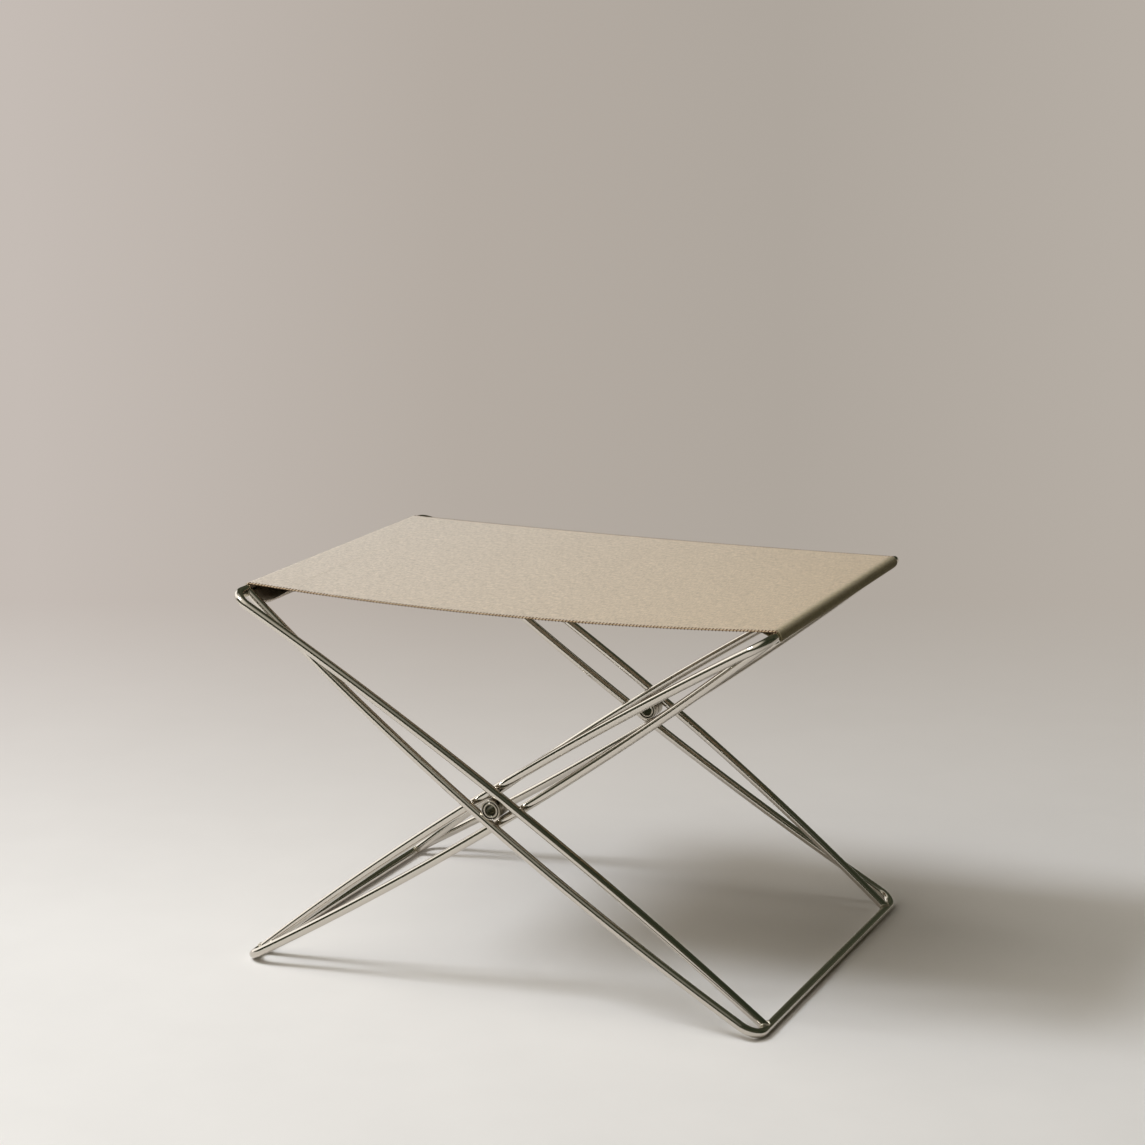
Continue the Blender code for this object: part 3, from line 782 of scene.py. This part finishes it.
class STOOL_OT_stage(bpy.types.Operator):
    """Adds the floor, the lamps, the world and the camera"""
    bl_idname = "stool.stage"
    bl_label = "Stage"

    def execute(self, context):
        sizes = context.scene.stool_stage
        bpy.ops.object.select_all(action="DESELECT")
        bpy.ops.mesh.primitive_circle_add(vertices=96, radius=sizes.floor_radius, fill_type="NGON")
        floor = context.object
        floor.name = "studio_floor"
        floor.data.materials.append(studio_floor(sizes))
        self.lamp("key_lamp", sizes.key_place, sizes.key_size, sizes.key_power, sizes.key_colour)
        sail = self.lamp("lit_sail", sizes.sail_place, sizes.sail_size, sizes.sail_power,
                         sizes.sail_colour)
        sail.visible_glossy = False
        context.scene.world = studio_world(sizes)
        bpy.ops.object.camera_add()
        camera = context.object
        camera.data.lens = sizes.camera_lens
        camera.data.sensor_width = 36.0
        camera.data.clip_end = 200.0
        camera.matrix_world = (Matrix.Translation(sizes.camera_place)
                               @ Matrix.Rotation(sizes.camera_azimuth, 4, "Z")
                               @ Matrix.Rotation(math.pi / 2 + sizes.camera_tilt, 4, "X")
                               @ Matrix.Rotation(sizes.camera_roll, 4, "Z"))
        context.scene.camera = camera
        context.scene.view_settings.view_transform = "Standard"
        return {"FINISHED"}

    @staticmethod
    def lamp(name, place, size, power, colour):
        """A round area lamp aimed at the stool, out of the camera's sight."""
        bpy.ops.object.light_add(type="AREA", location=place)
        lamp = bpy.context.object
        lamp.name = name
        lamp.data.shape = "DISK"
        lamp.data.size = size
        lamp.data.energy = power
        lamp.data.color = colour
        lamp.visible_camera = False
        towards = LAMPS_AIM - Vector(place)
        lamp.rotation_euler = towards.to_track_quat("-Z", "Y").to_euler()
        return lamp


class STOOL_OT_rods(bpy.types.Operator):
    """Bends the four rods and copes their ends to the rails"""
    bl_idname = "stool.rods"
    bl_label = "Bent rods"

    def execute(self, context):
        sizes = context.scene.stool_frame
        steel = drawn_steel()
        weld_gap = 0.00003
        for name, lean in LEANS.items():
            width = frame_width(sizes, name)
            rod = bar_along(f"{name}_upper_bent_rod", rod_path(sizes, width, lean), sizes.rod_radius,
                            fineness=18)
            rail = Vector((lean * sizes.rail_spacing / 2, 0.0, -sizes.rail_rise)) + PIVOT
            bpy.ops.mesh.primitive_cylinder_add(vertices=96, radius=sizes.rod_radius + weld_gap,
                                                depth=width, location=rail,
                                                rotation=(math.pi / 2, 0.0, 0.0))
            cutter = context.object
            cope = rod.modifiers.new("cope", "BOOLEAN")
            cope.operation = "DIFFERENCE"
            cope.solver = "EXACT"
            cope.object = cutter
            apply_modifiers(rod)
            bpy.data.objects.remove(cutter, do_unlink=True)
            settle(rod)
            upper_and_lower(rod, steel, f"{name}_upper_rod", f"{name}_frame")
        return {"FINISHED"}


class STOOL_OT_welds(bpy.types.Operator):
    """Lays the weld beads round the coped rod ends"""
    bl_idname = "stool.welds"
    bl_label = "Welds"

    def execute(self, context):
        sizes = context.scene.stool_frame
        steel = dressed_weld()
        for name, lean in LEANS.items():
            width = frame_width(sizes, name)
            for place, side in SIDES.items():
                points, radii = weld_path(sizes, width, lean, side)
                bead = bar_along(f"{name}_upper_bead_{place}", points, sizes.weld_radius, fineness=5,
                                 swell=[radius / sizes.weld_radius for radius in radii])
                settle(bead, angle=math.radians(60))
                upper_and_lower(bead, steel, f"{name}_upper_weld_{place}", f"{name}_frame")
        return {"FINISHED"}


def turn(name, outline, steps, round_over):
    """A turned piece about the pivot axis: its outline is drawn point by point, spun and rounded over.

    The outline gives (radius, distance along the axis) and is closed by its last edge.
    """
    bpy.ops.object.select_all(action="DESELECT")
    bpy.ops.mesh.primitive_plane_add(size=0.001, location=(0.0, 0.0, 0.0))
    piece = bpy.context.object
    piece.name = name
    bpy.ops.object.mode_set(mode="EDIT")
    bpy.ops.mesh.select_all(action="SELECT")
    bpy.ops.mesh.merge(type="CENTER")
    spots = [Vector((radius, along, 0.0)) for radius, along in outline]
    bpy.ops.transform.translate(value=spots[0])
    for before, after in zip(spots, spots[1:] + spots[:1]):
        bpy.ops.mesh.extrude_vertices_move(TRANSFORM_OT_translate={"value": after - before})
    bpy.ops.mesh.select_all(action="SELECT")
    bpy.ops.mesh.remove_doubles(threshold=1e-6)
    bpy.ops.mesh.spin(steps=steps, angle=2 * math.pi, center=(0.0, 0.0, 0.0), axis=(0.0, 1.0, 0.0))
    bpy.ops.object.mode_set(mode="OBJECT")
    settle(piece)
    bevel = piece.modifiers.new("round over", "BEVEL")
    bevel.width = round_over
    bevel.segments = 4
    bevel.limit_method = "ANGLE"
    bevel.angle_limit = math.radians(40)
    apply_modifiers(piece)
    return piece


def place_turned(piece, along, flip):
    """Sets a turned piece on the pivot axis, the other way round where flip is true."""
    turned = Matrix.Rotation(math.pi, 4, "Z") if flip else Matrix.Identity(4)
    piece.data.transform(Matrix.Translation(PIVOT + Vector((0.0, along, 0.0))) @ turned)


class STOOL_OT_pivots(bpy.types.Operator):
    """Turns the bushes, the tubular rivets and the washers of the two pivots"""
    bl_idname = "stool.pivots"
    bl_label = "Pivots"

    def execute(self, context):
        sizes = context.scene.stool_pivot
        steel = turned_steel(sizes.rivet_bore, (sizes.rivet_lip + sizes.counterbore) / 2)
        nylon = moulded_nylon()
        bore = sizes.rivet_radius + sizes.slip
        ledge = sizes.bush_length - sizes.rivet_lip_depth - sizes.slip
        bush_outline = [(bore, 0.0), (sizes.bush_radius, 0.0), (sizes.bush_radius, sizes.bush_length),
                        (sizes.counterbore, sizes.bush_length), (sizes.counterbore, ledge), (bore, ledge)]
        top = sizes.seat + sizes.bush_length
        shoulder = top - sizes.rivet_lip_depth
        half = [(sizes.rivet_radius, shoulder), (sizes.rivet_lip, shoulder), (sizes.rivet_lip, top),
                (sizes.rivet_bore, top)]
        rivet_outline = half + [(radius, -along) for radius, along in reversed(half)]
        thick = sizes.washer_thickness / 2
        washer_outline = [(bore, -thick), (sizes.bush_radius, -thick), (sizes.bush_radius, thick),
                          (bore, thick)]
        bush = turn("bush_pattern", bush_outline, sizes.steps, round_over=0.00035)
        rivet = turn("rivet_pattern", rivet_outline, sizes.steps, round_over=0.0006)
        washer = turn("washer_pattern", washer_outline, sizes.steps, round_over=0.00025)
        # Pattern, piece, node, way it faces and distance from the washer, body, material and slot.
        pieces = (
            (bush, "outer_bush_turned", "outer_bush", 1, sizes.seat, "outer_frame", steel, "turned_steel"),
            (bush, "inner_bush_turned", "inner_bush", -1, sizes.seat, "inner_frame", steel, "turned_steel"),
            (rivet, "pivot_rivet_rolled", "pivot_rivet", 1, 0.0, "outer_frame", steel, "turned_steel"),
            (washer, "pivot_washer_moulded", "pivot_washer", 1, 0.0, "outer_frame", nylon, "washer_nylon"),
        )
        for place, side in SIDES.items():
            for pattern, name, node, faces, away, body, material, slot in pieces:
                piece = copy_piece(pattern, f"{name}_{place}")
                place_turned(piece, side * (sizes.plane + faces * away), side * faces < 0)
                stand_in(piece, material, f"{node}_{place}", body)
        for pattern in (bush, rivet, washer):
            bpy.data.objects.remove(pattern, do_unlink=True)
        return {"FINISHED"}


class STOOL_OT_canvas(bpy.types.Operator):
    """Makes the canvas sling with its rail pockets, edge thread and seam stitches"""
    bl_idname = "stool.canvas"
    bl_label = "Canvas sling"

    def execute(self, context):
        cloth, rods = context.scene.stool_canvas, context.scene.stool_frame
        canvas = cotton_canvas(linear(cloth.pale_colour), linear(cloth.warm_colour), rods.rail_spacing / 2)
        sling = self.sling(cloth, rods)
        give(sling, canvas)
        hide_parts("canvas_seat", "canvas_wrap_outer", "canvas_wrap_inner")
        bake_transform(sling)
        brown = spun_thread("brown_spun_thread", cloth.whip_colour, "#5A3E29")
        pale_brown = spun_thread("pale_brown_spun_thread", cloth.core_colour, "#BCA27C")
        natural = spun_thread("natural_spun_thread", "#D8CCBB", "#C9BCA6")
        for place, side in SIDES.items():
            whip = self.edge_thread(cloth, rods, place, side, brown, pale_brown)
            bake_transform(whip)
        for name, lean in LEANS.items():
            row = self.seam_row(cloth, rods, name, lean)
            give(row, natural)
            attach(row, f"{name}_frame")
        return {"FINISHED"}

    @staticmethod
    def travel(cloth, rods):
        """Where the cloth leaves one frame's pocket and where it reaches the other's."""
        height = PIVOT.z + rods.rail_rise
        beyond_seam = 0.001
        outer, inner = (rods.rail_spacing / 2 - inset - beyond_seam for inset in cloth.seam_inset)
        return (-outer, 0.0, height), (inner, 0.0, height)

    @staticmethod
    def sling(cloth, rods):
        """The cloth as one sheet, laid along its section row by row and then given its thickness."""
        section = whole_section(cloth, rods)
        rows = 72
        bm = bmesh.new()
        plan = bm.loops.layers.uv.new("cloth")
        grid = []
        for s, x, z, tuck in section:
            line = []
            for k in range(rows + 1):
                share = 2 * k / rows - 1
                point = cloth_point(cloth, rods, x, z, tuck, share)
                line.append((bm.verts.new(point), (s, point.y)))
            grid.append(line)
        for near, far in zip(grid, grid[1:]):
            for k in range(rows):
                corners = (near[k], far[k], far[k + 1], near[k + 1])
                face = bm.faces.new([corner[0] for corner in corners])
                for loop, corner in zip(face.loops, corners):
                    loop[plan].uv = corner[1]
        mesh = bpy.data.meshes.new("canvas_sling")
        bm.to_mesh(mesh)
        bm.free()
        piece = new_piece("canvas_sling", mesh)
        solid = piece.modifiers.new("thickness", "SOLIDIFY")
        solid.thickness = cloth.thickness
        solid.offset = 0.0
        solid.use_even_offset = True
        apply_modifiers(piece)
        select_only(piece)
        bpy.ops.object.shade_smooth_by_angle(angle=math.radians(50))
        return piece

    @staticmethod
    def edge_thread(cloth, rods, place, side, whipping, laid):
        """Brown thread whipped over one raw edge, round a core of a paler one."""
        steps_a_turn, core_every, core_out = 12, 6, 0.00015
        frames = edge_frames(cloth, rods, side, cloth.whip_pitch / steps_a_turn)
        core_line = [point + out * core_out for _, point, out, _ in frames[::core_every]]
        core = bar_along(f"edge_core_{place}", core_line, cloth.core_radius, fineness=1)
        # Each turn is an upright oval, set a little inwards and down so that it shows less from above.
        half_depth, inwards = 0.0014, 0.0006
        half_height, down = cloth.thickness / 2 + 0.00030, 0.00014
        spots = []
        for s, point, out, up in frames:
            turns = 2 * math.pi * s / cloth.whip_pitch
            # The thread crosses the raw edge steeply and lies along it on the way back.
            angle = turns + 0.7 * math.sin(turns)
            spots.append(point + out * (half_depth * math.cos(angle) - inwards)
                         + up * (half_height * math.sin(angle) - down))
        whip = bar_along(f"edge_thread_{place}", spots, cloth.whip_radius, fineness=1)
        whip.data.materials.append(whipping)
        core.data.materials.append(laid)
        select_only(core, whip)
        bpy.ops.object.join()
        whip.name = f"edge_thread_{place}"
        settle(whip, angle=math.radians(80))
        return whip

    @staticmethod
    def seam_row(cloth, rods, name, lean):
        """A row of lock stitches along a pocket's seam, seen on top of the seat and under it."""
        bpy.ops.object.select_all(action="DESELECT")
        bpy.ops.mesh.primitive_uv_sphere_add(segments=8, ring_count=6, radius=0.5, location=(0, 0, 0))
        stitch = bpy.context.object
        stitch_size, slant_angle = (0.0006, 0.0030, 0.0003), math.radians(4)
        stitch.scale = stitch_size
        bpy.ops.object.transform_apply(location=True, rotation=True, scale=True)
        in_from_seam, in_from_edge = 0.003, 0.004
        x = -lean * (rods.rail_spacing / 2 - cloth.seam_inset[RAILS[name]] + in_from_seam)
        height = rods.rod_radius + cloth.rod_gap + cloth.thickness / 2
        depth = reach(cloth, rods, x, 1.0, 1) - in_from_edge
        count = int(2 * depth / cloth.stitch_pitch)
        joined = bmesh.new()
        for k in range(count + 1):
            y = (k / count * 2 - 1) * depth
            share = y / reach(cloth, rods, x, 0.0, y)
            # Thicknesses from the middle of the seat's layer to the top of it and to the under layer's foot.
            for layer in (0.5, -1.5):
                spot = cloth_point(cloth, rods, x, height + layer * cloth.thickness, 0.0, share)
                before = len(joined.verts)
                joined.from_mesh(stitch.data)
                joined.verts.ensure_lookup_table()
                slant = Matrix.Rotation(slant_angle, 4, "Z")
                bmesh.ops.transform(joined, matrix=Matrix.Translation(spot) @ slant,
                                    verts=joined.verts[before:])
        row = bpy.data.meshes.new(f"seam_stitches_{name}")
        joined.to_mesh(row)
        joined.free()
        bpy.data.objects.remove(stitch, do_unlink=True)
        piece = new_piece(f"seam_stitches_{name}", row)
        select_only(piece)
        bpy.ops.object.shade_smooth()
        return piece


class STOOL_PT_panel(bpy.types.Panel):
    """Lists the stool's sizes and the steps that make it"""
    bl_idname = "STOOL_PT_panel"
    bl_label = "Folding stool"
    bl_space_type = "VIEW_3D"
    bl_region_type = "UI"
    bl_category = "Stool"

    def draw(self, context):
        for operator in OPERATORS:
            self.layout.operator(operator.bl_idname)
        for name, group in SETTINGS.items():
            box = self.layout.box()
            for field in group.__annotations__:
                box.prop(getattr(context.scene, name), field)


SETTINGS = {
    "stool_frame": StoolFrameSettings,
    "stool_pivot": StoolPivotSettings,
    "stool_canvas": StoolCanvasSettings,
    "stool_stage": StoolStageSettings,
}
OPERATORS = (STOOL_OT_stage, STOOL_OT_rods, STOOL_OT_welds, STOOL_OT_pivots, STOOL_OT_canvas)


def register():
    for group in SETTINGS.values():
        bpy.utils.register_class(group)
    for name, group in SETTINGS.items():
        setattr(bpy.types.Scene, name, PointerProperty(type=group))
    for operator in OPERATORS:
        bpy.utils.register_class(operator)
    bpy.utils.register_class(STOOL_PT_panel)


def unregister():
    bpy.utils.unregister_class(STOOL_PT_panel)
    for operator in reversed(OPERATORS):
        bpy.utils.unregister_class(operator)
    for name, group in SETTINGS.items():
        delattr(bpy.types.Scene, name)
        bpy.utils.unregister_class(group)


def main():
    register()
    bpy.ops.stool.stage()
    bpy.ops.stool.rods()
    bpy.ops.stool.welds()
    bpy.ops.stool.pivots()
    bpy.ops.stool.canvas()


if __name__ == "__main__":
    main()
